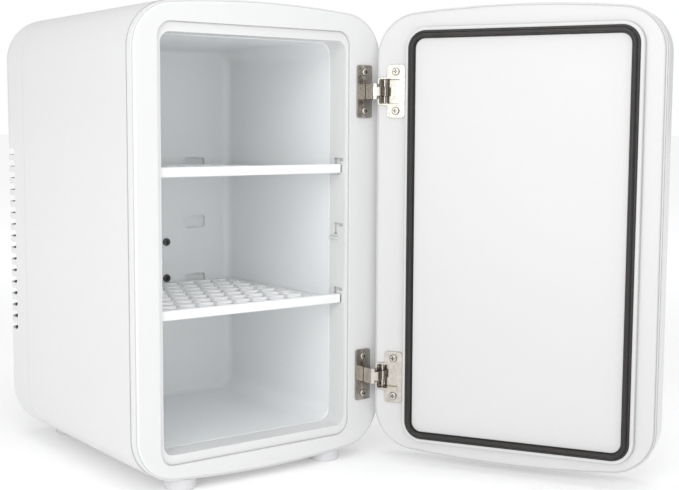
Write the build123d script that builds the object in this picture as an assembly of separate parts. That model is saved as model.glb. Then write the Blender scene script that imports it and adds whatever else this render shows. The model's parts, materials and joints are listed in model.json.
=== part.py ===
from build123d import *
import math
import os

# Thermoelectric mini fridge, cabinet and door, modelled in millimetres.
# +Z is up, the front faces -Y and +X is to the right. While it is built, x = 0 is the middle of
# the cabinet, y = 0 is the flat front face around the opening and z = 0 is the floor.
# The door is drawn shut and then turned open about its hinge axis.

# Cabinet outline: a rounded rectangle whose top and bottom edges are slightly crowned
cabinet_width = 277.0
cabinet_height = 441.4
corner_radius = 43.0
crown_radius = 1050.0
foot_height = 7.0
foot_diameter = 31.0
foot_from_side = 56.0
foot_from_front = 20.0
foot_from_back = 38.0
foot_boss_height = 8.0
foot_counterbore = 2.6
foot_edge_radius = 1.2

# Depths, measured back from the front face
sleeve_start = 10.0
sleeve_end = 238.5
cabinet_depth = 300.0

# Walls and insets
sleeve_wall = 2.2
frame_wall = 2.4
liner_wall = 1.5
cover_wall = 2.5
face_inset = 2.6
collar_inset = 1.0
tongue_length = 8.0
tongue_wall = 1.8
fit_gap = 0.2
face_edge_radius = 2.2

# Opening and cavity
opening_width = 204.0
opening_height = 380.0
opening_bottom = 35.9
opening_corner = 10.0
opening_offset = -6.5
rim_side = 4.4
rim_end = 9.2
rim_depth = 3.0
throat_end = 28.0
liner_step = 0.6
cavity_back = 218.5
liner_edge_radius = 17.0
liner_corner_radius = 8.0
liner_flange = 5.0
bulkhead_wall = 2.2

# Shelves and what carries them
shelf_heights = {"lower": 158.6, "upper": 287.6}
spare_shelf_height = 223.1
shelf_lip_height = 9.0
shelf_lip_depth = 4.0
shelf_lip_above = 5.4
shelf_to_back = 2.5
shelf_front = 7.5
shelf_plate = 2.6
shelf_side_gap = 0.6
shelf_rib_width = 2.4
shelf_rows = 8
shelf_waves = 9
shelf_tab_width = 22.0
shelf_tab_length = 3.4
shelf_tab_thickness = 4.0
rear_pocket_width = 26.0
rear_pocket_height = 13.5
rear_pocket_depth = 4.2
rear_pocket_offset = 57.0
rear_pocket_radius = 3.0
side_pocket_length = 14.0
side_pocket_height = 11.5
side_pocket_depth = 2.4
side_pocket_block = 8.5
side_pocket_notch = 3.0
side_pocket_front = 6.5
ledge_proud = 2.4
ledge_height = 2.0
shelf_rest_gap = 0.3
shelf_rail = 7.0
shelf_rib_relief = 0.6
shelf_lip_radius = 1.6

# Rear cover
cover_edge_radius = 26.0
scoop_bottom = 87.0
scoop_top = 342.0
scoop_depth = 5.5
scoop_slope = 9.0
slot_count = 16
slot_pitch = 12.3
slot_height = 6.6
slot_lowest = 121.6
slot_start = 264.5
slot_wrap = 36.0
cover_screw_from_side = 40.5
upper_cover_screw_height = 395.0
cover_boss_radius = 4.5
cover_screw_bite = 24.0

# Cooling unit
module_height = 186.7
cold_block_width = 62.0
cold_block_height = 62.0
cold_block_depth = 20.0
cold_block_radius = 2.0
peltier_size = 40.0
peltier_thickness = 3.8
block_screw_half_x = 21.0
block_screw_half_z = 20.0
sink_width = 104.0
sink_height = 96.0
sink_base = 5.0
fin_depth = 19.0
fin_thickness = 1.4
fin_count = 21
sink_screw_from_module = 6.0
sink_screw_access = 4.0
fan_size = 80.0
fan_depth = 18.0
fan_wall = 2.0
fan_blades = 9
fan_hub = 32.0
blade_gap = 1.2
fan_to_sink = 0.6
fan_hole_pitch = 71.5
fan_corner = 5.0
fan_shaft = 2.0
fan_bar = 2.0
blade_pitch_angle = 35.0
blade_chord = 15.0
blade_thickness = 1.6
grille_hub = 12.0
grille_pitch = 5.6
grille_gap = 3.6
grille_lip = 2.5
grille_lip_height = 1.2
grille_spoke = 2.4

# Rear services
service_height = 62.0
ac_inlet_size = (27.0, 20.0)
dc_inlet_diameter = 12.0
switch_size = (21.0, 15.0)
ac_inlet_x = 52.0
dc_inlet_x = 12.0
switch_x = -32.0
inlet_lip = 2.0
inlet_lip_height = 1.6
inlet_length = 24.0
ac_socket_size = (20.0, 11.0)
ac_socket_depth = 16.0
ac_contact_half_pitch = 4.3
ac_contact_radius = 1.2
dc_socket_radius = 4.0
dc_socket_depth = 12.0
dc_contact_radius = 1.0
dc_inlet_length = 18.0
switch_lip = 1.5
switch_length = 16.0
switch_well = 9.0
rocker_side_gap = 1.2
rocker_end_gap = 0.4
rocker_pin_radius = 1.2
rocker_pin_length = 0.9
board_size = (120.0, 46.0)
board_height = 99.0
board_thickness = 1.6
board_standoff = 5.0
board_standoff_radius = 3.0
board_post_inset = 6.0

# Door
door_thickness = 42.0
door_gap = 8.9
door_edge_radius = 8.0
door_wall = 2.3
panel_rim = 3.0
panel_collar = 3.0
plateau_height = 7.0
plateau_land = 3.3
gasket_width = 7.6
gasket_width_overlap = 7.0
gasket_end_overlap = 9.0
gasket_corner = 17.0
gasket_groove = 1.5
gasket_lip_gap = 0.3
gasket_low_rib = 1.4
gasket_base_rise = 0.4
gasket_lip_width = 3.0

# Concealed cup hinges
hinge_heights = {"lower": 85.1, "upper": 367.6}
pivot_from_side = 7.6
pivot_from_face = 14.5
door_open_angle = 120.0
hinge_screw_pitch = 38.0
hinge_plate_length = 51.0
hinge_plate_width = 17.6
hinge_plate_thickness = 1.8
hinge_plate_from_side = 22.4
flange_width = 18.4
flange_from_edge = 21.5
flange_thickness = 1.2
cup_width = 24.0
cup_height = 26.0
cup_corner = 3.0
cup_depth = 12.0
cup_wall = 1.0
cup_to_side = 3.2
cup_to_panel_gap = 0.2
cup_rim = 0.6
cup_boss_wall = 2.0
arm_height = 15.0
arm_tip_height = 8.6
arm_thickness = 2.4
arm_root_shift = 1.6
arm_reach = 13.0
arm_crown = (8.5, 2.9)
arm_bends = (4.0, 2.0)
knuckle_radius = 2.8
pin_radius = 1.3
pin_running_gap = 0.08
backing_thickness = 2.0
backing_width = 16.0

# Screws: head diameter, head height, shank diameter, length under the head
hinge_screw = (7.4, 1.8, 3.4, 9.0)
block_screw = (8.6, 2.2, 4.0, 14.0)
cover_screw = (7.0, 2.0, 3.4, 16.0)
foot_screw = (7.0, 2.0, 3.4, 14.0)
fan_screw = (5.6, 1.6, 2.8, 22.0)
sink_screw = (6.4, 2.2, 3.0, 18.0)
cross_depth = 1.2

# Derived places
half_width = cabinet_width / 2
body_bottom = foot_height
body_top = foot_height + cabinet_height
opening_middle_z = opening_bottom + opening_height / 2
tongue_inset = sleeve_wall + fit_gap
liner_width = opening_width - 2 * liner_step
block_back = cavity_back + liner_wall + cold_block_depth
sink_front = block_back + peltier_thickness
fin_end = sink_front + sink_base + fin_depth
fan_front = fin_end + fan_to_sink
fan_back = fan_front + fan_depth
scoop_face = cabinet_depth - scoop_depth
door_inner_face = -door_gap
door_outer_face = -door_gap - door_thickness
door_shell_rim = door_inner_face - panel_rim - panel_collar
pivot_x = half_width - pivot_from_side
pivot_y = -pivot_from_face
screw_half = hinge_screw_pitch / 2
gasket_size = (opening_width + 2 * gasket_width_overlap, opening_height + 2 * gasket_end_overlap)
gasket_seat = door_inner_face + plateau_height - gasket_groove
shelf_levels = [*shelf_heights.values(), spare_shelf_height]
cover_screw_x = half_width - cover_screw_from_side
cover_screw_levels = (service_height, upper_cover_screw_height)
cover_screw_spots = [(across * cover_screw_x, z) for across in (-1, 1) for z in cover_screw_levels]


def outline(inset, y):
    """The cabinet's outline at depth y, moved in by inset all round."""
    side = half_width - inset
    corner = corner_radius - inset
    crown = crown_radius - inset
    lean = math.asin((half_width - corner_radius) / (crown_radius - corner_radius))
    centre_x = half_width - corner_radius
    rise = (crown_radius - corner_radius) * math.cos(lean)
    middle = (math.pi / 2 - lean) / 2
    edges = []
    for up in (1, -1):
        crown_z = body_top - crown_radius if up == 1 else body_bottom + crown_radius
        corner_z = crown_z + up * rise

        def at(across, angle):
            x = across * (centre_x + corner * math.cos(angle))
            return (x, y, corner_z + up * corner * math.sin(angle))

        end = math.pi / 2 - lean
        for across in (1, -1):
            edges.append(ThreePointArc(at(across, 0), at(across, middle), at(across, end)))
        edges.append(ThreePointArc(at(1, end), (0, y, crown_z + up * crown), at(-1, end)))
    top_z = body_top - crown_radius + rise
    bottom_z = body_bottom + crown_radius - rise
    for across in (1, -1):
        edges.append(Line((across * side, y, bottom_z), (across * side, y, top_z)))
    return make_face(Wire.combine(edges)[0].edges())


def prism(inset, y_start, y_end):
    """A solid of the cabinet's outline between two depths."""
    return extrude(outline(inset, y_start), y_end - y_start, dir=(0, 1, 0))


def ring(inset, wall, y_start, y_end):
    """A tube that follows the cabinet's outline."""
    return prism(inset, y_start, y_end) - prism(inset + wall, y_start - 1, y_end + 1)


def facing(x, y, z):
    """A plane whose own x runs right and own y runs up, seen from the front."""
    return Plane(origin=(x, y, z), x_dir=(1, 0, 0), z_dir=(0, -1, 0))


def rounded_block(x, z, width, height, radius, y_start, y_end):
    """A block with rounded edges along Y, centred on x and z."""
    sketch = facing(x, y_start, z) * RectangleRounded(width, height, radius)
    return extrude(sketch, y_end - y_start, dir=(0, 1, 0))


def block(x_low, x_high, y_low, y_high, z_low, z_high):
    """A plain box between two corners."""
    size = (x_high - x_low, y_high - y_low, z_high - z_low)
    middle = ((x_low + x_high) / 2, (y_low + y_high) / 2, (z_low + z_high) / 2)
    return Pos(*middle) * Box(*size)


def rod(x, z, radius, y_start, y_end):
    """A round bar along Y."""
    return extrude(facing(x, y_start, z) * Circle(radius), y_end - y_start, dir=(0, 1, 0))


def post(x, y, radius, z_low, z_high):
    """A round bar along Z."""
    return extrude(Pos(x, y, z_low) * Circle(radius), z_high - z_low)


def edges_at(part, axis, place):
    """The part's edges that lie wholly at one place along an axis."""
    return part.edges().filter_by_position(axis, place - 0.01, place + 0.01)


def screw(size):
    """A cross-head screw along Z: the head stands on z = 0 and the shank points down."""
    head_diameter, head_height, shank_diameter, length = size
    head = Cylinder(head_diameter / 2, head_height, align=(Align.CENTER, Align.CENTER, Align.MIN))
    head = fillet(edges_at(head, Axis.Z, head_height), head_height * 0.6)
    slot = Pos(0, 0, head_height) * Box(head_diameter * 0.55, 1.1, 2 * cross_depth)
    shank = Cylinder(shank_diameter / 2, length, align=(Align.CENTER, Align.CENTER, Align.MAX))
    return head + shank - slot - Rot(0, 0, 90) * slot


def screws_along_y(size, spots, y, head_side):
    """Screws at (x, z) spots, with heads on the -Y or +Y side of the face at depth y."""
    turn = Rot(90, 0, 0) if head_side < 0 else Rot(-90, 0, 0)
    return [Pos(x, y, z) * turn * screw(size) for x, z in spots]


def hole_set(spots, radius, y_start, y_end):
    """Round holes along Y at (x, z) spots."""
    return [rod(x, z, radius, y_start, y_end) for x, z in spots]


def foot_spots():
    """Centres of the four feet on the floor."""
    x = half_width - foot_from_side
    depths = (foot_from_front, cabinet_depth - foot_from_back)
    return [(across * x, y) for y in depths for across in (-1, 1)]


def foot_holes():
    """Screw holes for the feet in the shells above them."""
    return [post(x, y, foot_screw[2] / 2, body_bottom - 1, body_bottom + 20) for x, y in foot_spots()]


def block_screw_spots():
    """The four screws that hold the cold block to the back of the cavity."""
    return [
        (opening_offset + across * block_screw_half_x, module_height + up * block_screw_half_z)
        for across in (-1, 1)
        for up in (-1, 1)
    ]


def fan_screw_spots():
    """The four corners of the fan."""
    half = fan_hole_pitch / 2
    return [
        (opening_offset + across * half, module_height + up * half)
        for across in (-1, 1)
        for up in (-1, 1)
    ]


# ---------------------------------------------------------------- cabinet shells


def make_body_sleeve():
    sleeve = ring(0, sleeve_wall, sleeve_start, sleeve_end)
    return sleeve - foot_holes()


def side_pocket_spots():
    """Middle height of the pocket in the throat wall at each shelf level."""
    return [level + shelf_lip_height for level in shelf_levels]


def make_front_frame():
    face = prism(face_inset, 0, frame_wall + rim_depth)
    face = fillet(edges_at(face, Axis.Y, 0), face_edge_radius)
    back_room = prism(tongue_inset + tongue_wall, frame_wall, frame_wall + rim_depth + 1)
    web = rounded_block(
        opening_offset,
        opening_middle_z,
        opening_width + 2 * (rim_side + frame_wall),
        opening_height + 2 * (rim_end + frame_wall),
        opening_corner + rim_side + frame_wall,
        0,
        frame_wall + rim_depth + 2,
    )
    frame = face - (back_room - web)
    frame += ring(collar_inset, sleeve_wall + tongue_wall, frame_wall, sleeve_start - fit_gap)
    frame += ring(tongue_inset, tongue_wall, frame_wall, sleeve_start + tongue_length)
    frame += rounded_block(
        opening_offset,
        opening_middle_z,
        opening_width + 2 * frame_wall,
        opening_height + 2 * frame_wall,
        opening_corner + frame_wall,
        frame_wall,
        throat_end,
    )
    for side in (-1, 1):
        wall_x = opening_offset + side * opening_width / 2
        for z in side_pocket_spots():
            frame += side_pocket_housing(wall_x, side, z)
    frame -= rounded_block(
        opening_offset, opening_middle_z, opening_width, opening_height, opening_corner, -1, throat_end + 1
    )
    frame -= rounded_block(
        opening_offset,
        opening_middle_z,
        opening_width + 2 * rim_side,
        opening_height + 2 * rim_end,
        opening_corner + rim_side,
        -1,
        rim_depth,
    )
    for side in (-1, 1):
        wall_x = opening_offset + side * opening_width / 2
        for z, level in zip(side_pocket_spots(), shelf_levels):
            frame -= side_pocket(wall_x, side, z)
            frame += shelf_ledge(wall_x, side, level)
    for spot in hinge_plate_screw_spots():
        frame -= rod(spot[0], spot[1], hinge_screw[2] / 2, -1, frame_wall + 1)
    return frame


def side_pocket_housing(wall_x, side, z):
    """The plastic behind one pocket of the throat wall."""
    outer_x = wall_x + side * (side_pocket_depth + frame_wall)
    x_low, x_high = sorted((wall_x, outer_x))
    y_high = side_pocket_front + side_pocket_length + frame_wall
    half = side_pocket_height / 2 + frame_wall
    return block(x_low, x_high, frame_wall, y_high, z - half, z + half)


def side_pocket(wall_x, side, z):
    """An L-shaped pocket: a recess with a block left flush in its lower front corner."""
    x_low, x_high = sorted((wall_x - side, wall_x + side * side_pocket_depth))
    y_high = side_pocket_front + side_pocket_length
    half = side_pocket_height / 2
    pocket = block(x_low, x_high, side_pocket_front, y_high, z - half, z + half)
    left = block(
        x_low - 1,
        x_high + 1,
        side_pocket_front - 1,
        side_pocket_front + side_pocket_block,
        z - half - 1,
        z + half - side_pocket_notch,
    )
    return pocket - left


def shelf_ledge(wall_x, side, level):
    """A small ledge under the shelf's front corner."""
    x_low, x_high = sorted((wall_x + side, wall_x - side * ledge_proud))
    top = level + shelf_lip_height - shelf_lip_above - shelf_plate - shelf_rest_gap
    y_low = shelf_front + shelf_lip_depth + 1
    return block(x_low, x_high, y_low, throat_end - 1, top - ledge_height, top)


def cavity(grow, y_start, y_end):
    """The liner's inside, grown by a wall, with every edge but the front ones rounded."""
    width = liner_width + 2 * grow
    height = opening_height - 2 * liner_step + 2 * grow
    room = block(
        opening_offset - width / 2,
        opening_offset + width / 2,
        y_start,
        y_end,
        opening_middle_z - height / 2,
        opening_middle_z + height / 2,
    )
    long_edges = room.edges().filter_by(Axis.Y)
    room = fillet(long_edges, liner_edge_radius + grow)
    return fillet(edges_at(room, Axis.Y, y_end), liner_corner_radius + grow)


def rear_pockets(grow, y_start):
    """Pockets in the cavity's back wall that take the shelves' rear tabs."""
    pockets = []
    for level in shelf_levels:
        for across in (-1, 1):
            pockets.append(
                rounded_block(
                    opening_offset + across * rear_pocket_offset,
                    level + shelf_lip_height / 2,
                    rear_pocket_width + 2 * grow,
                    rear_pocket_height + 2 * grow,
                    rear_pocket_radius + grow,
                    y_start,
                    cavity_back + rear_pocket_depth + grow,
                )
            )
    return pockets


def make_inner_liner():
    shell = cavity(liner_wall, throat_end, cavity_back + liner_wall)
    shell += rear_pockets(liner_wall, cavity_back - liner_corner_radius)
    shell += rounded_block(
        opening_offset,
        opening_middle_z,
        opening_width + 2 * (frame_wall + liner_flange),
        opening_height + 2 * (frame_wall + liner_flange),
        opening_corner + frame_wall + liner_flange,
        throat_end,
        throat_end + liner_wall,
    )
    shell -= cavity(0, throat_end - 20, cavity_back)
    shell -= rear_pockets(0, cavity_back - 1)
    return shell - hole_set(block_screw_spots(), block_screw[2] / 2, cavity_back - 1, cavity_back + 10)


def make_cabinet_foam():
    front = sleeve_start + tongue_length + 1
    inset = tongue_inset + tongue_wall + fit_gap
    back = sleeve_end - tongue_length - 1
    foam = prism(inset, front, back)
    clear = liner_wall + fit_gap
    foam -= cavity(clear, throat_end, cavity_back + clear)
    foam -= rear_pockets(clear, cavity_back - liner_corner_radius)
    flange = frame_wall + liner_flange + side_pocket_depth + 1
    foam -= rounded_block(
        opening_offset,
        opening_middle_z,
        opening_width + 2 * flange,
        opening_height + 2 * flange,
        opening_corner + flange,
        front - 1,
        throat_end + clear,
    )
    foam -= rounded_block(
        opening_offset,
        module_height,
        cold_block_width + 2 * fit_gap,
        cold_block_height + 2 * fit_gap,
        cold_block_radius,
        cavity_back,
        back + 1,
    )
    for x, y in foot_spots():
        foam -= post(x, y, foot_screw[2] / 2 + fit_gap, body_bottom, body_bottom + 22)
    return foam


def bulkhead_plane():
    """Front of the rear bulkhead, just behind the foam."""
    return sleeve_end - tongue_length - 1 + fit_gap


def make_rear_bulkhead():
    front = bulkhead_plane()
    plate = prism(tongue_inset + tongue_wall + 0.5, front, front + bulkhead_wall)
    plate -= rounded_block(
        opening_offset,
        module_height,
        cold_block_width + 2 * fit_gap,
        cold_block_height + 2 * fit_gap,
        cold_block_radius,
        front - 1,
        front + 4,
    )
    for x, z in cover_screw_spots:
        plate += rod(x, z, cover_boss_radius, front + 1, cabinet_depth - cover_wall - fit_gap)
        plate -= rod(x, z, cover_screw[2] / 2, cabinet_depth - cover_screw_bite, cabinet_depth)
    return plate


def scoop(depth_to, grow):
    """The shallow recess across the rear face, cut deeper or wider by grow."""
    low = scoop_bottom - grow
    high = scoop_top + grow
    reach = cabinet_depth + 5
    profile = Polyline(
        (0, depth_to, low + scoop_slope),
        (0, reach, low - scoop_slope * 0.6),
        (0, reach, high + scoop_slope * 0.6),
        (0, depth_to, high - scoop_slope),
        close=True,
    )
    face = make_face(profile.edges())
    return extrude(face, half_width + 5, dir=(1, 0, 0), both=True)


def rounded_cover(inset, y_start, y_end, radius):
    """The outline's prism with its rear edge rounded."""
    body = prism(inset, y_start, y_end)
    return fillet(edges_at(body, Axis.Y, y_end), radius)


def vent_slots():
    """Slots that start on the sides and wrap round the rear corners."""
    slots = []
    start = slot_start + slot_height / 2
    half = slot_height / 2
    for side in (-1, 1):
        x_low, x_high = sorted((side * (half_width + 1), side * (half_width - slot_wrap)))
        for index in range(slot_count):
            z = slot_lowest + index * slot_pitch
            slots.append(block(x_low, x_high, start, cabinet_depth + 1, z - half, z + half))
            nose = Pos((x_low + x_high) / 2, start, z) * Rot(0, 90, 0)
            slots.append(nose * Cylinder(half, x_high - x_low))
    return slots


def make_rear_cover():
    skin = rounded_cover(0, sleeve_end + fit_gap, cabinet_depth, cover_edge_radius)
    skin -= scoop(scoop_face, 0)
    room = rounded_cover(
        cover_wall, sleeve_end - 1, cabinet_depth - cover_wall, cover_edge_radius - cover_wall
    )
    room -= scoop(scoop_face - cover_wall, cover_wall)
    cover = skin - room
    cover += ring(tongue_inset, tongue_wall, sleeve_end - tongue_length, sleeve_end + 3)
    cover -= vent_slots()
    cover -= rod(opening_offset, module_height, fan_size / 2 + 2, scoop_face - 10, cabinet_depth)
    inside = cabinet_depth - cover_wall - 2
    outside = cabinet_depth + 1
    cover -= rounded_block(ac_inlet_x, service_height, *ac_inlet_size, 2.0, inside, outside)
    cover -= rod(dc_inlet_x, service_height, dc_inlet_diameter / 2, inside, outside)
    cover -= rounded_block(switch_x, service_height, *switch_size, 1.0, inside, outside)
    cover -= hole_set(cover_screw_spots, cover_screw[2] / 2, inside, outside)
    return cover - foot_holes()


def make_feet():
    body = prism(0, 0, cabinet_depth)
    feet = []
    for x, y in foot_spots():
        foot = post(x, y, foot_diameter / 2, 0, foot_height + foot_boss_height)
        foot = fillet(edges_at(foot, Axis.Z, 0), foot_edge_radius)
        foot -= body
        foot -= post(x, y, foot_screw[2] / 2, -1, foot_height + foot_boss_height)
        foot -= post(x, y, foot_screw[0] / 2 + 0.6, -1, foot_counterbore)
        feet.append(foot)
    return feet


def make_foot_screws():
    return [Pos(x, y, foot_counterbore) * Rot(180, 0, 0) * screw(foot_screw) for x, y in foot_spots()]


# ---------------------------------------------------------------- cooling unit


def make_cold_block():
    cold = rounded_block(
        opening_offset,
        module_height,
        cold_block_width,
        cold_block_height,
        cold_block_radius - fit_gap,
        cavity_back + liner_wall,
        block_back,
    )
    cold -= hole_set(
        block_screw_spots(), block_screw[2] / 2, cavity_back, cavity_back + block_screw[3] + fit_gap
    )
    return cold - hole_set(sink_screw_spots(), sink_screw[2] / 2, block_back - 12, block_back + 1)


def sink_screw_spots():
    """Two screws, left and right of the module, that clamp the heat sink to the cold block."""
    half = peltier_size / 2 + sink_screw_from_module
    return [(opening_offset + across * half, module_height) for across in (-1, 1)]


def make_peltier_module():
    front = block_back
    size = peltier_size
    return rounded_block(opening_offset, module_height, size, size, 0.8, front, front + peltier_thickness)


def make_heat_sink():
    left = opening_offset - sink_width / 2
    low = module_height - sink_height / 2
    high = module_height + sink_height / 2
    base_back = sink_front + sink_base
    sink = block(left, left + sink_width, sink_front, base_back, low, high)
    pitch = (sink_width - fin_thickness) / (fin_count - 1)
    fins = []
    for index in range(fin_count):
        x = left + index * pitch
        fins.append(block(x, x + fin_thickness, base_back - 0.5, fin_end, low, high))
    sink += fins
    for x, z in sink_screw_spots():
        sink -= rod(x, z, sink_screw_access, base_back, fin_end + 1)
        sink -= rod(x, z, sink_screw[2] / 2, sink_front - 1, base_back + 1)
    return sink - hole_set(fan_screw_spots(), fan_screw[2] / 2, fin_end - 6, fin_end + 1)


def make_sink_screws():
    return screws_along_y(sink_screw, sink_screw_spots(), sink_front + sink_base, 1)


def make_fan_frame():
    frame = rounded_block(
        opening_offset, module_height, fan_size, fan_size, fan_corner, fan_front, fan_back
    )
    frame -= rod(opening_offset, module_height, fan_size / 2 - fan_wall, fan_front - 1, fan_back + 1)
    for angle in (45, 135):
        bar = Box(fan_size - 2 * fan_wall + 2, fan_bar, 2 * fan_bar)
        frame += Pos(opening_offset, fan_front + fan_bar / 2, module_height) * Rot(0, angle, 0) * bar
    frame += rod(opening_offset, module_height, fan_hub / 2, fan_front, fan_front + fan_bar)
    frame += rod(opening_offset, module_height, fan_shaft, fan_front, fan_back - 4)
    return frame - hole_set(fan_screw_spots(), fan_screw[2] / 2, fan_front - 1, fan_back + 1)


def make_fan_rotor():
    """A hub with pitched blades that turns on the fan frame's stub shaft."""
    front = fan_front + fan_bar + 1
    back = fan_back - fan_bar + 0.5
    rotor = rod(opening_offset, module_height, fan_hub / 2, front, back)
    reach = fan_size / 2 - fan_wall - blade_gap
    span = reach - fan_hub / 2 + 1
    blades = []
    for index in range(fan_blades):
        blade = Rot(blade_pitch_angle, 0, 0) * Box(span, blade_thickness, blade_chord)
        blade = Pos(fan_hub / 2 - 1 + span / 2, 0, 0) * blade
        turn = Rot(0, index * 360 / fan_blades, 0)
        blades.append(Pos(opening_offset, (front + back) / 2, module_height) * turn * blade)
    rotor += blades
    rotor &= rod(opening_offset, module_height, reach, front, back)
    return rotor - rod(opening_offset, module_height, fan_shaft + pin_running_gap, front - 1, back - 2)


def make_fan_grille():
    """A round snap-in guard in the rear cover: rings joined by four spokes and a centre disc."""
    outer = fan_size / 2 + 2 - fit_gap
    face = scoop_face - cover_wall
    depth = cover_wall
    grille = rod(opening_offset, module_height, outer, face, face + depth)
    lip_end = scoop_face + grille_lip_height
    grille += rod(opening_offset, module_height, outer + grille_lip, scoop_face, lip_end)
    radius = grille_hub
    while radius + grille_gap < outer - 2:
        gap = rod(opening_offset, module_height, radius + grille_gap, face - 1, scoop_face + 3)
        gap -= rod(opening_offset, module_height, radius, face - 1, scoop_face + 3)
        grille -= gap
        radius += grille_pitch
    grille -= rod(opening_offset, module_height, outer - 2, scoop_face - 0.2, scoop_face + 3)
    for angle in (0, 45, 90, 135):
        bar = Box(2 * outer - 2, depth - 0.4, grille_spoke)
        grille += Pos(opening_offset, face + depth / 2, module_height) * Rot(0, angle, 0) * bar
    return grille


def make_fan_screws():
    return screws_along_y(fan_screw, fan_screw_spots(), fan_back, 1)


# ---------------------------------------------------------------- rear services


def make_power_inlet():
    """A flush mains inlet: a lipped housing with two round contacts in an open socket."""
    width, height = ac_inlet_size
    front = cabinet_depth - inlet_length
    lip_end = cabinet_depth + inlet_lip_height
    inlet = rounded_block(
        ac_inlet_x, service_height, width - 2 * fit_gap, height - 2 * fit_gap, 2.0, front, cabinet_depth
    )
    lip_width = width + 2 * inlet_lip
    lip_height = height + 2 * inlet_lip
    inlet += rounded_block(
        ac_inlet_x, service_height, lip_width, lip_height, 3.0, cabinet_depth, lip_end
    )
    socket_front = cabinet_depth - ac_socket_depth
    width, height = ac_socket_size
    inlet -= rounded_block(ac_inlet_x, service_height, width, height, 5.0, socket_front, lip_end + 1)
    for across in (-1, 1):
        x = ac_inlet_x + across * ac_contact_half_pitch
        inlet += rod(x, service_height, ac_contact_radius, socket_front - 1, cabinet_depth - 5)
    return inlet


def make_dc_inlet():
    """A round low-voltage socket with a centre pin."""
    radius = dc_inlet_diameter / 2 - fit_gap
    lip_end = cabinet_depth + inlet_lip_height
    socket_front = cabinet_depth - dc_socket_depth
    inlet = rod(dc_inlet_x, service_height, radius, cabinet_depth - dc_inlet_length, cabinet_depth)
    inlet += rod(dc_inlet_x, service_height, radius + inlet_lip, cabinet_depth, lip_end)
    inlet -= rod(dc_inlet_x, service_height, dc_socket_radius, socket_front, lip_end + 1)
    return inlet + rod(dc_inlet_x, service_height, dc_contact_radius, socket_front - 1, cabinet_depth - 3)


def make_switch_housing():
    width, height = switch_size
    front = cabinet_depth - switch_length
    lip_end = cabinet_depth + switch_lip
    well_front = cabinet_depth - switch_well
    housing = rounded_block(
        switch_x, service_height, width - 2 * fit_gap, height - 2 * fit_gap, 1.0, front, cabinet_depth
    )
    lip_width = width + 2 * switch_lip
    lip_height = height + 2 * switch_lip
    housing += rounded_block(
        switch_x, service_height, lip_width, lip_height, 1.5, cabinet_depth, lip_end
    )
    width, height = switch_well_size()
    housing -= rounded_block(switch_x, service_height, width, height, 0.5, well_front, lip_end + 1)
    return housing - rocker_pin(rocker_pin_radius + pin_running_gap, rocker_pin_length + fit_gap)


def rocker_pin(radius, reach):
    """A bar on the rocker's pivot that reaches past both ends of the well."""
    half = switch_well_size()[1] / 2 + reach
    return post(switch_x, switch_axis_y(), radius, service_height - half, service_height + half)


def switch_well_size():
    """The opening in the switch housing that the rocker sits in."""
    return [size - 2 * switch_lip for size in switch_size]


def switch_axis_y():
    """Depth of the rocker's pivot."""
    return cabinet_depth - 3.0


def make_mode_switch():
    """A three-way rocker that tips left and right about a vertical axis."""
    width, height = switch_well_size()
    half = width / 2 - rocker_side_gap
    y = switch_axis_y()
    profile = Polyline(
        (switch_x - half, y - 2, 0),
        (switch_x - half, y + 4.2, 0),
        (switch_x, y + 2.6, 0),
        (switch_x + half, y + 4.2, 0),
        (switch_x + half, y - 2, 0),
        (switch_x, y - 3.6, 0),
        close=True,
    )
    depth = height - 2 * rocker_end_gap
    rocker = extrude(make_face(profile.edges()), depth / 2, dir=(0, 0, 1), both=True)
    return Pos(0, 0, service_height) * rocker + rocker_pin(rocker_pin_radius, rocker_pin_length)


def board_plane():
    """Front of the circuit board, on the bulkhead."""
    return bulkhead_plane() + bulkhead_wall + board_standoff


def make_control_board():
    width, height = board_size
    front = board_plane()
    board = rounded_block(opening_offset, board_height, width, height, 1.0, front, front + board_thickness)
    reach_x = width / 2 - board_post_inset
    reach_z = height / 2 - board_post_inset
    for x in (opening_offset - reach_x, opening_offset + reach_x):
        for z in (board_height - reach_z, board_height + reach_z):
            board += rod(x, z, board_standoff_radius, front - board_standoff, front + 0.5)
    return board


def make_board_components():
    """The transformer, two capacitors, a choke and a power device's cooler."""
    front = board_plane() + board_thickness
    x = opening_offset
    z = board_height
    transformer = rounded_block(x - 30, z, 30, 26, 2.0, front, front + 22)
    capacitors = [rod(x + along, z + 4, 6.5, front, front + 20) for along in (2, 18)]
    choke = rod(x + 36, z - 8, 8.0, front, front + 9)
    cooler = rounded_block(x + 48, z + 8, 12, 20, 1.0, front, front + 16)
    return [transformer, *capacitors, choke, cooler]


def make_cover_screws():
    return screws_along_y(cover_screw, cover_screw_spots, cabinet_depth, 1)


def make_cold_block_screws():
    return screws_along_y(block_screw, block_screw_spots(), cavity_back, -1)


# ---------------------------------------------------------------- shelves


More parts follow.
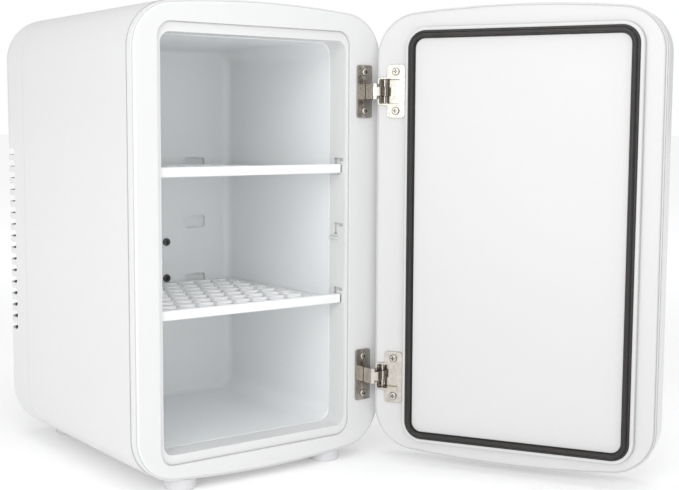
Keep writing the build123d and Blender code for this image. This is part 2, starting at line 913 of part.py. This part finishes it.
def make_shelf(level):
    """A moulded shelf: a front lip, side rails, straight cross ribs and zig-zag ribs between them."""
    half = liner_width / 2 - shelf_side_gap
    left = opening_offset - half
    right = opening_offset + half
    lip_top = level + shelf_lip_height
    top = lip_top - shelf_lip_above
    plate_low = top - shelf_plate
    back = cavity_back - shelf_to_back
    lip = block(left, right, shelf_front, shelf_front + shelf_lip_depth, level, lip_top)
    lip = fillet(edges_at(lip, Axis.Y, shelf_front), shelf_lip_radius)
    lip = fillet(lip.edges().filter_by(Axis.Z).sort_by(Axis.Y)[-2:], 0.6)
    room_front = shelf_front + shelf_rail + 2
    room_left = left + shelf_rail
    room_right = right - shelf_rail
    room_back = back - shelf_rail
    frame = block(left, right, shelf_front + 2, back, plate_low, top)
    frame -= block(room_left, room_right, room_front, room_back, plate_low - 1, top + 1)
    frame = fillet(frame.edges().filter_by(Axis.Z).sort_by(Axis.Y)[-2:], liner_corner_radius)
    row = (room_back - room_front) / shelf_rows
    wave = (room_right - room_left) / shelf_waves
    half_rib = shelf_rib_width / 2
    ribs = []
    for index in range(1, shelf_rows):
        y = room_front + index * row
        ribs.append(block(room_left - 1, room_right + 1, y - half_rib, y + half_rib, plate_low, top))
    reach = math.hypot(wave / 2, row)
    slant = math.degrees(math.atan2(row, wave / 2))
    for index in range(shelf_rows):
        y = room_front + (index + 0.5) * row
        for step in range(2 * shelf_waves):
            x = room_left + (step + 0.5) * wave / 2
            turn = slant if (step + index) % 2 == 0 else -slant
            bar = Box(reach, shelf_rib_width * 0.75, shelf_plate - shelf_rib_relief)
            ribs.append(Pos(x, y, top - (shelf_plate + shelf_rib_relief) / 2) * Rot(0, 0, turn) * bar)
    shelf = frame + ribs
    shelf += lip
    for across in (-1, 1):
        x = opening_offset + across * rear_pocket_offset
        shelf += block(
            x - shelf_tab_width / 2,
            x + shelf_tab_width / 2,
            back - 4,
            cavity_back + shelf_tab_length,
            top - shelf_tab_thickness,
            top,
        )
    return shelf


# ---------------------------------------------------------------- door, drawn shut


def gasket_ring(grow, width, y_start, y_end):
    """A rounded-rectangle ring; its outer edge is the gasket's, moved out by grow."""
    wide = gasket_size[0] + 2 * grow
    high = gasket_size[1] + 2 * grow
    corner = gasket_corner + grow
    outer = rounded_block(opening_offset, opening_middle_z, wide, high, corner, y_start, y_end)
    return outer - rounded_block(
        opening_offset,
        opening_middle_z,
        wide - 2 * width,
        high - 2 * width,
        corner - width,
        y_start - 1,
        y_end + 1,
    )


def plateau(inset, y_start, y_end):
    """The raised field of the door's inner panel, moved in by inset."""
    grow = plateau_land - inset
    return rounded_block(
        opening_offset,
        opening_middle_z,
        gasket_size[0] + 2 * grow,
        gasket_size[1] + 2 * grow,
        gasket_corner + grow,
        y_start,
        y_end,
    )


def hinge_plate_screw_spots():
    """Screws through the hinges' cabinet plates."""
    x = half_width - hinge_plate_from_side
    return [(x, z + up * screw_half) for z in hinge_heights.values() for up in (-1, 1)]


def flange_screw_spots():
    """Screws through the hinges' door flanges."""
    x = half_width - flange_from_edge
    return [(x, z + up * screw_half) for z in hinge_heights.values() for up in (-1, 1)]


def cup_block(z, grow, y_start, y_end):
    """A block of the hinge cup's outline, larger by grow on every side."""
    return rounded_block(
        half_width - cup_to_side - cup_width / 2,
        z,
        cup_width + 2 * grow,
        cup_height + 2 * grow,
        cup_corner + grow,
        y_start,
        y_end,
    )


def make_door_inner_panel():
    face = door_inner_face
    plate = prism(face_inset, face - panel_rim, face)
    plate = fillet(edges_at(plate, Axis.Y, face), 1.8)
    collar_back = face - panel_rim - panel_collar
    tongue_end = collar_back - tongue_length
    panel = plate + prism(collar_inset, collar_back + fit_gap, face - panel_rim)
    raised = plateau(0, face - 1, face + plateau_height)
    raised = fillet(edges_at(raised, Axis.Y, face + plateau_height), 1.5)
    panel += raised
    panel -= prism(tongue_inset + tongue_wall, collar_back - 1, face - door_wall)
    panel -= plateau(door_wall, face - door_wall - 1, face + plateau_height - door_wall - gasket_groove)
    panel += ring(tongue_inset, tongue_wall, tongue_end, collar_back + 1)
    panel -= gasket_ring(fit_gap / 2, gasket_width + fit_gap, gasket_seat, face + plateau_height + 1)
    for z in hinge_heights.values():
        boss = cup_block(z, cup_to_panel_gap + cup_boss_wall, face - cup_depth - 1, face - 1)
        panel += boss & prism(tongue_inset, face - cup_depth - 2, face)
        panel -= cup_block(z, cup_to_panel_gap, face - cup_depth - 2, face + 1)
    return panel - hole_set(flange_screw_spots(), hinge_screw[2] / 2, face - 12, face + 1)


def make_door_outer_shell():
    shell = prism(0, door_outer_face, door_shell_rim)
    shell = fillet(edges_at(shell, Axis.Y, door_outer_face), door_edge_radius)
    shell = fillet(edges_at(shell, Axis.Y, door_shell_rim), 0.8)
    room = prism(door_wall - 0.1, door_outer_face + door_wall, door_shell_rim + 1)
    room = fillet(edges_at(room, Axis.Y, door_outer_face + door_wall), door_edge_radius - door_wall)
    return shell - room


def make_door_foam():
    face = door_inner_face
    back = door_outer_face + door_wall + fit_gap
    tongue_end = door_shell_rim - tongue_length
    foam = prism(door_wall + 0.3, back, tongue_end - fit_gap)
    foam = fillet(edges_at(foam, Axis.Y, back), door_edge_radius - door_wall)
    foam += prism(tongue_inset + tongue_wall + fit_gap, tongue_end - 1, face - door_wall - fit_gap)
    foam += plateau(
        door_wall + fit_gap,
        face - door_wall - 2,
        face + plateau_height - door_wall - gasket_groove - fit_gap,
    )
    for z in hinge_heights.values():
        room = cup_to_panel_gap + cup_boss_wall + fit_gap
        foam -= cup_block(z, room, face - cup_depth - 2, face + 1)
    return foam - hole_set(flange_screw_spots(), hinge_screw[2] / 2 + fit_gap, face - 14, face + 1)


def make_door_gasket():
    """A base strip with a tall inner lip, which seals on the rim, and a low outer rib."""
    crest = rim_depth - gasket_lip_gap
    top = door_inner_face + plateau_height
    base = gasket_ring(0, gasket_width, gasket_seat, top + gasket_base_rise)
    lip_outer = gasket_width_overlap - rim_side + 0.6
    lip = gasket_ring(-lip_outer, gasket_lip_width, top, crest)
    lip = fillet(edges_at(lip, Axis.Y, crest), 1.2)
    low = gasket_ring(-0.5, lip_outer - 1.4, top, top + gasket_low_rib)
    low = fillet(edges_at(low, Axis.Y, top + gasket_low_rib), 0.3)
    return base + lip + low


# ---------------------------------------------------------------- hinges, drawn shut


def screw_pair(x, z, y):
    """Clearance for a hinge's two screws through plates near depth y."""
    reach = hinge_screw[3] / 2
    spots = [(x, z + up * screw_half) for up in (-1, 1)]
    return hole_set(spots, hinge_screw[2] / 2, y - reach, y + reach)


def make_hinge_arm(z):
    """The cabinet half: a screwed plate and a goose-neck arm ending in a knuckle round the pin."""
    plate_x = half_width - hinge_plate_from_side
    plate = rounded_block(
        plate_x, z, hinge_plate_width, hinge_plate_length, 2.0, -hinge_plate_thickness, 0
    )
    root_x = plate_x + arm_root_shift
    root = (root_x, -hinge_plate_thickness / 2, z)
    elbow = (root_x, -arm_reach, z)
    crown = (pivot_x - arm_crown[0], pivot_y - arm_crown[1], z)
    halfway = ((elbow[0] + crown[0]) / 2, (elbow[1] + crown[1]) / 2, z)
    start = Plane(origin=root, x_dir=(1, 0, 0), z_dir=(0, -1, 0))
    neck = FilletPolyline(root, elbow, halfway, radius=arm_bends[0])
    whole = FilletPolyline(root, elbow, crown, (pivot_x, pivot_y, z), radius=arm_bends[1])
    arm = sweep(start * Rectangle(arm_thickness, arm_height), path=neck)
    arm += sweep(start * Rectangle(arm_thickness, arm_tip_height), path=whole)
    half = arm_tip_height / 2
    arm += post(pivot_x, pivot_y, knuckle_radius, z - half, z + half)
    arm -= post(pivot_x, pivot_y, pin_radius + pin_running_gap, z - arm_height, z + arm_height)
    arm += plate
    return arm - screw_pair(plate_x, z, 0)


def make_hinge_cup(z):
    """The door half: a flanged box-shaped cup let into the inner panel."""
    face = door_inner_face
    flange_x = half_width - flange_from_edge
    cup = cup_block(z, 0, face - cup_depth, face)
    cup += cup_block(z, cup_rim, face, face + flange_thickness)
    cup += rounded_block(flange_x, z, flange_width, hinge_plate_length, 3.0, face, face + flange_thickness)
    cup -= cup_block(z, -cup_wall, face - cup_depth + cup_wall, face + 3)
    cup -= post(pivot_x, pivot_y, pin_radius, z - cup_height, z + cup_height)
    return cup - screw_pair(flange_x, z, face)


def make_hinge_pin(z):
    half = cup_height / 2 - 0.1
    return post(pivot_x, pivot_y, pin_radius, z - half, z + half)


def make_arm_screws():
    return screws_along_y(hinge_screw, hinge_plate_screw_spots(), -hinge_plate_thickness, -1)


def make_cup_screws():
    return screws_along_y(hinge_screw, flange_screw_spots(), door_inner_face + flange_thickness, 1)


def make_backing_plates():
    """Steel plates behind the front face that the hinge screws bite into."""
    plates = []
    for z in hinge_heights.values():
        x = half_width - hinge_plate_from_side
        plate = block(
            x - backing_width / 2,
            x + backing_width / 2,
            frame_wall,
            frame_wall + backing_thickness,
            z - hinge_plate_length / 2,
            z + hinge_plate_length / 2,
        )
        plates.append(plate - screw_pair(x, z, frame_wall))
    return plates


# ---------------------------------------------------------------- assembly


def open_door(shapes):
    """Turn shapes drawn with the door shut to where they are with it open."""
    swing = Pos(pivot_x, pivot_y, 0) * Rot(0, 0, door_open_angle) * Pos(-pivot_x, -pivot_y, 0)
    return [swing * shape for shape in shapes]


def as_list(made):
    return made if isinstance(made, list) else [made]


def cabinet_nodes():
    nodes = {
        "body_sleeve": make_body_sleeve(),
        "front_frame": make_front_frame(),
        "rear_cover": make_rear_cover(),
        "rear_bulkhead": make_rear_bulkhead(),
        "inner_liner": make_inner_liner(),
        "cabinet_foam": make_cabinet_foam(),
        "feet": make_feet(),
        "foot_screws": make_foot_screws(),
        "cold_block": make_cold_block(),
        "cold_block_screws": make_cold_block_screws(),
        "peltier_module": make_peltier_module(),
        "heat_sink": make_heat_sink(),
        "heat_sink_screws": make_sink_screws(),
        "fan_frame": make_fan_frame(),
        "fan_rotor": make_fan_rotor(),
        "fan_screws": make_fan_screws(),
        "fan_grille": make_fan_grille(),
        "power_inlet": make_power_inlet(),
        "dc_inlet": make_dc_inlet(),
        "switch_housing": make_switch_housing(),
        "mode_switch": make_mode_switch(),
        "control_board": make_control_board(),
        "board_components": make_board_components(),
        "rear_cover_screws": make_cover_screws(),
        "hinge_backing_plates": make_backing_plates(),
        "hinge_arm_screws": make_arm_screws(),
    }
    for name, level in shelf_heights.items():
        nodes[f"{name}_shelf"] = make_shelf(level)
    for name, z in hinge_heights.items():
        nodes[f"{name}_hinge_arm"] = make_hinge_arm(z)
    return nodes


def door_nodes():
    nodes = {
        "door_outer_shell": make_door_outer_shell(),
        "door_inner_panel": make_door_inner_panel(),
        "door_foam": make_door_foam(),
        "door_gasket": make_door_gasket(),
        "hinge_cup_screws": make_cup_screws(),
    }
    for name, z in hinge_heights.items():
        nodes[f"{name}_hinge_cup"] = make_hinge_cup(z)
        nodes[f"{name}_hinge_pin"] = make_hinge_pin(z)
    return nodes


def assemble():
    """Every node at rest, and the shift that puts the origin under the middle of the whole."""
    nodes = {name: as_list(made) for name, made in cabinet_nodes().items()}
    for name, made in door_nodes().items():
        nodes[name] = open_door(as_list(made))
    solids = [solid for made in nodes.values() for shape in made for solid in shape.solids()]
    box = Compound(children=solids).bounding_box()
    shift = (-(box.min.X + box.max.X) / 2, -(box.min.Y + box.max.Y) / 2, -box.min.Z)
    return nodes, shift


nodes, shift = assemble()
os.makedirs("parts", exist_ok=True)
for name, made in nodes.items():
    solids = [Pos(*shift) * solid for shape in made for solid in shape.solids()]
    export_step(solids[0] if len(solids) == 1 else Compound(children=solids), f"parts/{name}.step")
    print(f"{name}: {len(solids)} solid(s)")
print("shift", [round(value, 3) for value in shift])
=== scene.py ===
import json
import math

import bpy
from mathutils import Matrix, Vector


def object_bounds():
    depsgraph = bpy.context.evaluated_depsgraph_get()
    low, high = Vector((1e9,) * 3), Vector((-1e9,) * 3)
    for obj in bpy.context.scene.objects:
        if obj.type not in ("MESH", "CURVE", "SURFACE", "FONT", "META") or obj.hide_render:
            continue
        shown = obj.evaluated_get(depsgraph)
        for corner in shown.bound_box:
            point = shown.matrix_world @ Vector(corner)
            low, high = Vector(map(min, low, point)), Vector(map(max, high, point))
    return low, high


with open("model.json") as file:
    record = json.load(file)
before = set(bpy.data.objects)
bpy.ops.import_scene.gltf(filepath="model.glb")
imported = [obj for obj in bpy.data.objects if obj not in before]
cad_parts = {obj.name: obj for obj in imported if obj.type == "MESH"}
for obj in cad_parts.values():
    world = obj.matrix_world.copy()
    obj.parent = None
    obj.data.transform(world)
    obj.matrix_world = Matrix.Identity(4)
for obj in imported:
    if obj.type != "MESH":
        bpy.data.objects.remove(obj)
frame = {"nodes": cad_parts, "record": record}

CAD_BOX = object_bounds()
NODES = frame["nodes"]
RECORD = frame["record"]


# ---------------------------------------------------------------- materials

def principled(name):
    """A new material, its node tree and its Principled shader."""
    material = bpy.data.materials.new(name)
    material.use_nodes = True
    tree = material.node_tree
    return material, tree, tree.nodes["Principled BSDF"]


def noise(tree, scale, detail=2.0, rough=0.5, stretch=(1, 1, 1)):
    """Noise in the object's own metres; stretch squeezes it along an axis for grain."""
    coords = tree.nodes.new("ShaderNodeTexCoord")
    mapping = tree.nodes.new("ShaderNodeMapping")
    mapping.inputs["Scale"].default_value = stretch
    texture = tree.nodes.new("ShaderNodeTexNoise")
    texture.inputs["Scale"].default_value = scale
    texture.inputs["Detail"].default_value = detail
    texture.inputs["Roughness"].default_value = rough
    tree.links.new(coords.outputs["Object"], mapping.inputs["Vector"])
    tree.links.new(mapping.outputs["Vector"], texture.inputs["Vector"])
    return texture.outputs["Fac"]


def ramp(tree, source, stops):
    """A colour ramp from (place, colour) stops."""
    node = tree.nodes.new("ShaderNodeValToRGB")
    elements = node.color_ramp.elements
    while len(elements) < len(stops):
        elements.new(0.5)
    for element, (place, colour) in zip(elements, stops):
        element.position = place
        element.color = (*colour, 1)
    tree.links.new(source, node.inputs["Fac"])
    return node.outputs["Color"]


def spread(tree, source, low, high):
    """The source's middle range stretched to run from low to high."""
    node = tree.nodes.new("ShaderNodeMapRange")
    node.inputs["From Min"].default_value = 0.3
    node.inputs["From Max"].default_value = 0.7
    node.inputs["To Min"].default_value = low
    node.inputs["To Max"].default_value = high
    tree.links.new(source, node.inputs["Value"])
    return node.outputs["Result"]


def bump(tree, shader, source, distance):
    """Fine relief from the source, distance metres high."""
    node = tree.nodes.new("ShaderNodeBump")
    node.inputs["Distance"].default_value = distance
    node.inputs["Strength"].default_value = 1.0
    tree.links.new(source, node.inputs["Height"])
    tree.links.new(node.outputs["Normal"], shader.inputs["Normal"])


def painted_crevice_shade(tree, colour, reach, darkest):
    """Painted shade: the colour darkened towards darkest in gaps, seam lines and recesses narrower than
    reach, by an ambient occlusion node.
    """
    open_air = tree.nodes.new("ShaderNodeAmbientOcclusion")
    open_air.samples = 8
    open_air.inputs["Distance"].default_value = reach
    level = tree.nodes.new("ShaderNodeMapRange")
    for name, value in (("From Min", 0.35), ("From Max", 0.85), ("To Min", darkest), ("To Max", 1.0)):
        level.inputs[name].default_value = value
    tree.links.new(open_air.outputs["AO"], level.inputs["Value"])
    mix = tree.nodes.new("ShaderNodeVectorMath")
    mix.operation = "SCALE"
    tree.links.new(colour, mix.inputs[0])
    tree.links.new(level.outputs["Result"], mix.inputs["Scale"])
    return mix.outputs["Vector"]


def plastic(name, colour, rough, vary=0.02, grain=900.0, depth=0.00002, coat=0.0, painted_seam_shade=None):
    """Moulded plastic: faint tone drift, uneven gloss, a fine moulded grain and, where asked, painted
    shade darkening its gaps and seam lines.
    """
    material, tree, shader = principled(name)
    dark = tuple(c * (1 - vary) for c in colour)
    tone = ramp(tree, noise(tree, 5.0, 1.0), [(0.2, dark), (0.8, colour)])
    # Painted shade: the tone is darkened by ambient occlusion where parts meet and in recesses
    if painted_seam_shade:
        tone = painted_crevice_shade(tree, tone, *painted_seam_shade)
    tree.links.new(tone, shader.inputs["Base Color"])
    gloss = noise(tree, 9.0, 1.0)
    tree.links.new(spread(tree, gloss, rough * 0.95, rough * 1.06), shader.inputs["Roughness"])
    shader.inputs["IOR"].default_value = 1.5
    shader.inputs["Coat Weight"].default_value = coat
    shader.inputs["Coat Roughness"].default_value = 0.12
    bump(tree, shader, noise(tree, grain, 2.0), depth)
    return material


def metal(name, colour, rough, grain=(1, 1, 1), depth=0.00001, wear=0.12):
    """Plated or bare metal: drawn grain, smudges, slightly darker patches and painted shade in its
    recesses and gaps.
    """
    material, tree, shader = principled(name)
    dark = tuple(c * (1 - wear) for c in colour)
    tone = ramp(tree, noise(tree, 160.0, 4.0, 0.6), [(0.35, dark), (0.6, colour)])
    # Painted shade: ambient occlusion darkens recesses, screw gaps and joins almost to black
    tree.links.new(painted_crevice_shade(tree, tone, 0.002, 0.06), shader.inputs["Base Color"])
    lines = noise(tree, 1500.0, 2.0, 0.5, grain)
    tree.links.new(spread(tree, lines, rough * 0.7, rough * 1.35), shader.inputs["Roughness"])
    shader.inputs["Metallic"].default_value = 1.0
    bump(tree, shader, lines, depth)
    return material


def rubber(name, colour, rough):
    """Soft dark moulding: dusty bloom, fine drag lines."""
    material, tree, shader = principled(name)
    dusty = tuple(c * 1.5 + 0.003 for c in colour)
    tone = noise(tree, 60.0, 5.0, 0.65)
    tree.links.new(ramp(tree, tone, [(0.4, colour), (0.75, dusty)]), shader.inputs["Base Color"])
    gloss = noise(tree, 120.0, 3.0)
    tree.links.new(spread(tree, gloss, rough * 0.85, rough * 1.2), shader.inputs["Roughness"])
    shader.inputs["Sheen Weight"].default_value = 0.08
    bump(tree, shader, noise(tree, 2200.0, 2.0), 0.00003)
    return material


def foam(name, colour):
    """Rigid insulating foam with small closed cells."""
    material, tree, shader = principled(name)
    cells = tree.nodes.new("ShaderNodeTexVoronoi")
    coords = tree.nodes.new("ShaderNodeTexCoord")
    cells.inputs["Scale"].default_value = 320.0
    tree.links.new(coords.outputs["Object"], cells.inputs["Vector"])
    dark = tuple(c * 0.86 for c in colour)
    tree.links.new(
        ramp(tree, cells.outputs["Distance"], [(0.1, colour), (0.7, dark)]), shader.inputs["Base Color"]
    )
    shader.inputs["Roughness"].default_value = 0.9
    bump(tree, shader, cells.outputs["Distance"], 0.0004)
    return material


# Painted shade in gaps: how far its darkening reaches, in metres, and the share of the colour left at
# its deepest
CASING_PAINTED_SHADE = (0.0025, 0.5)
SHELF_PAINTED_SHADE = (0.0015, 0.7)

MATERIALS = {
    # Painted light and shade: one white plastic in lit and shaded copies, the shell darker with a
    # purple cast, the frame lighter, the liner and shelf brightest, the liner with a cool blue cast
    "white_shell": plastic(
        "white_shell", (0.735, 0.733, 0.74), 0.3, 0.01, 700.0, 0.0000003, 0.15, CASING_PAINTED_SHADE
    ),
    "white_frame": plastic(
        "white_frame", (0.758, 0.76, 0.76), 0.32, 0.01, 900.0, 0.0000003, 0.1, CASING_PAINTED_SHADE
    ),
    # Painted shade: a darker copy of the white plastic for the door's inner panel
    "door_panel_painted_shade": plastic(
        "door_panel_painted_shade", (0.655, 0.655, 0.652), 0.32, 0.01, 900.0, 0.0000003, 0.1, CASING_PAINTED_SHADE
    ),
    "liner": plastic("liner", (0.885, 0.905, 0.913), 0.34, 0.01, 500.0, 0.0000004, 0.1),
    "shelf": plastic(
        "shelf", (0.9, 0.905, 0.91), 0.35, 0.01, 900.0, 0.0000004, 0.0, SHELF_PAINTED_SHADE
    ),
    "foot": plastic("foot", (0.72, 0.72, 0.73), 0.6, 0.06, 700.0, 0.00004),
    # Painted shade: the inner plastic is near black so that the space seen through the vents reads dark
    "inner_plastic": plastic("inner_plastic", (0.05, 0.05, 0.052), 0.5, 0.05),
    "black_plastic": plastic("black_plastic", (0.018, 0.018, 0.02), 0.42, 0.2, 1200.0, 0.00003),
    "grille": plastic("grille", (0.025, 0.025, 0.027), 0.45, 0.2, 1200.0, 0.00003),
    "switch_cap": plastic("switch_cap", (0.03, 0.03, 0.033), 0.25, 0.15, 1200.0, 0.00001, 0.2),
    "components": plastic("components", (0.05, 0.05, 0.055), 0.4, 0.4),
    "module": plastic("module", (0.82, 0.82, 0.8), 0.55, 0.05, 1500.0, 0.00003),
    "board": plastic("board", (0.02, 0.15, 0.06), 0.35, 0.3, 1500.0, 0.00004),
    "gasket": rubber("gasket", (0.0085, 0.0065, 0.0055), 0.42),
    "foam": foam("foam", (0.8, 0.76, 0.62)),
    "aluminium": metal("aluminium", (0.72, 0.73, 0.74), 0.34, (1, 1, 0.04)),
    "hinge_steel": metal("hinge_steel", (0.6, 0.565, 0.515), 0.17, (1, 1, 0.03), wear=0.2),
    "backing_steel": metal("backing_steel", (0.5, 0.5, 0.5), 0.4, (1, 1, 0.05)),
    "screw_bright": metal("screw_bright", (0.62, 0.62, 0.61), 0.28),
    "screw_dark": metal("screw_dark", (0.12, 0.12, 0.125), 0.3, wear=0.4),
}

# Nodes given a darker copy of their slot's white plastic, as painted shade
PAINTED_SHADE_LOOK = {"door_inner_panel": "door_panel_painted_shade"}

for part in RECORD["subparts"]:
    node = NODES[part["node"]]
    look = PAINTED_SHADE_LOOK.get(part["node"], part["material_slot"])
    node.data.materials.clear()
    node.data.materials.append(MATERIALS[look])


# ---------------------------------------------------------------- camera, floor and light

CAMERA_PLACE = (-0.6875, -0.9435, 0.3334)
CAMERA_TURN = {"yaw": 36.28, "pitch": 5.66, "roll": -0.195}
CAMERA_LENS = 62.42
CAMERA_SHIFT = (0.0287, -0.0029)


def camera():
    """The viewing angle: turned right from +Y by yaw, then tipped down by pitch."""
    data = bpy.data.cameras.new("camera")
    data.sensor_width = 36.0
    data.lens = CAMERA_LENS
    data.shift_x, data.shift_y = CAMERA_SHIFT
    data.clip_start = 0.05
    obj = bpy.data.objects.new("camera", data)
    yaw, pitch, roll = (math.radians(CAMERA_TURN[name]) for name in ("yaw", "pitch", "roll"))
    level = math.cos(pitch)
    forward = Vector((math.sin(yaw) * level, math.cos(yaw) * level, -math.sin(pitch)))
    turn = forward.to_track_quat("-Z", "Y").to_matrix() @ Matrix.Rotation(-roll, 3, "Z")
    obj.matrix_world = Matrix.Translation(CAMERA_PLACE) @ turn.to_4x4()
    bpy.context.collection.objects.link(obj)
    bpy.context.scene.camera = obj


def floor():
    """A pale sheet that glows more further out, so that it meets the backdrop without a horizon."""
    mesh = bpy.data.meshes.new("floor")
    reach = 40.0
    signs = ((-1, -1), (1, -1), (1, 1), (-1, 1))
    corners = [(across * reach, along * reach, 0) for across, along in signs]
    mesh.from_pydata(corners, [], [(0, 1, 2, 3)])
    obj = bpy.data.objects.new("floor", mesh)
    gap_under_feet = 0.0002
    obj.location.z = CAD_BOX[0][2] - gap_under_feet
    material, tree, shader = principled("floor_paper")
    tone = ramp(tree, noise(tree, 3.0, 3.0), [(0.3, (0.9, 0.9, 0.9)), (0.7, (0.92, 0.92, 0.92))])
    tree.links.new(tone, shader.inputs["Base Color"])
    shader.inputs["Roughness"].default_value = 0.8
    coords = tree.nodes.new("ShaderNodeTexCoord")
    distance = tree.nodes.new("ShaderNodeVectorMath")
    distance.operation = "LENGTH"
    glow = tree.nodes.new("ShaderNodeMapRange")
    glow.interpolation_type = "SMOOTHSTEP"
    for name, value in (("From Min", 0.5), ("From Max", 2.2), ("To Min", 0.17), ("To Max", 0.42)):
        glow.inputs[name].default_value = value
    tree.links.new(coords.outputs["Object"], distance.inputs[0])
    tree.links.new(distance.outputs["Value"], glow.inputs["Value"])
    shader.inputs["Emission Color"].default_value = (1, 1, 1, 1)
    tree.links.new(glow.outputs["Result"], shader.inputs["Emission Strength"])
    mesh.materials.append(material)
    bpy.context.collection.objects.link(obj)


def area_light(name, place, target, size, power):
    """A soft rectangular light at place, aimed at target, of power watts."""
    data = bpy.data.lights.new(name, "AREA")
    data.shape = "RECTANGLE"
    data.size, data.size_y = size
    data.energy = power
    obj = bpy.data.objects.new(name, data)
    obj.location = place
    aim = Vector(target) - Vector(place)
    obj.rotation_euler = aim.to_track_quat("-Z", "Y").to_euler()
    bpy.context.collection.objects.link(obj)


def studio():
    """An even white surround and a few large soft lights."""
    world = bpy.data.worlds.new("studio")
    world.use_nodes = True
    tree = world.node_tree
    back = tree.nodes["Background"]
    back.inputs["Color"].default_value = (0.99, 0.995, 1.0, 1)
    back.inputs["Strength"].default_value = 0.56
    white = tree.nodes.new("ShaderNodeBackground")
    white.inputs["Color"].default_value = (1, 1, 1, 1)
    path = tree.nodes.new("ShaderNodeLightPath")
    mix = tree.nodes.new("ShaderNodeMixShader")
    tree.links.new(path.outputs["Is Camera Ray"], mix.inputs["Fac"])
    tree.links.new(back.outputs["Background"], mix.inputs[1])
    tree.links.new(white.outputs["Background"], mix.inputs[2])
    tree.links.new(mix.outputs["Shader"], tree.nodes["World Output"].inputs["Surface"])
    bpy.context.scene.world = world
    middle = (0.0, 0.0, 0.22)
    area_light("key", (-1.3, -1.6, 1.6), middle, (1.6, 1.2), 9.8)
    area_light("left", (-1.7, -0.9, 0.6), middle, (1.2, 1.2), 10.4)
    area_light("front", (-0.6, -2.2, 0.9), middle, (1.6, 1.6), 5.4)
    area_light("overhead", (0.0, -0.2, 2.2), middle, (2.0, 2.0), 16.0)
    area_light("right", (1.4, -1.8, 1.2), middle, (1.4, 1.4), 1.4)
    bpy.context.scene.view_settings.view_transform = "Standard"


camera()
floor()
studio()
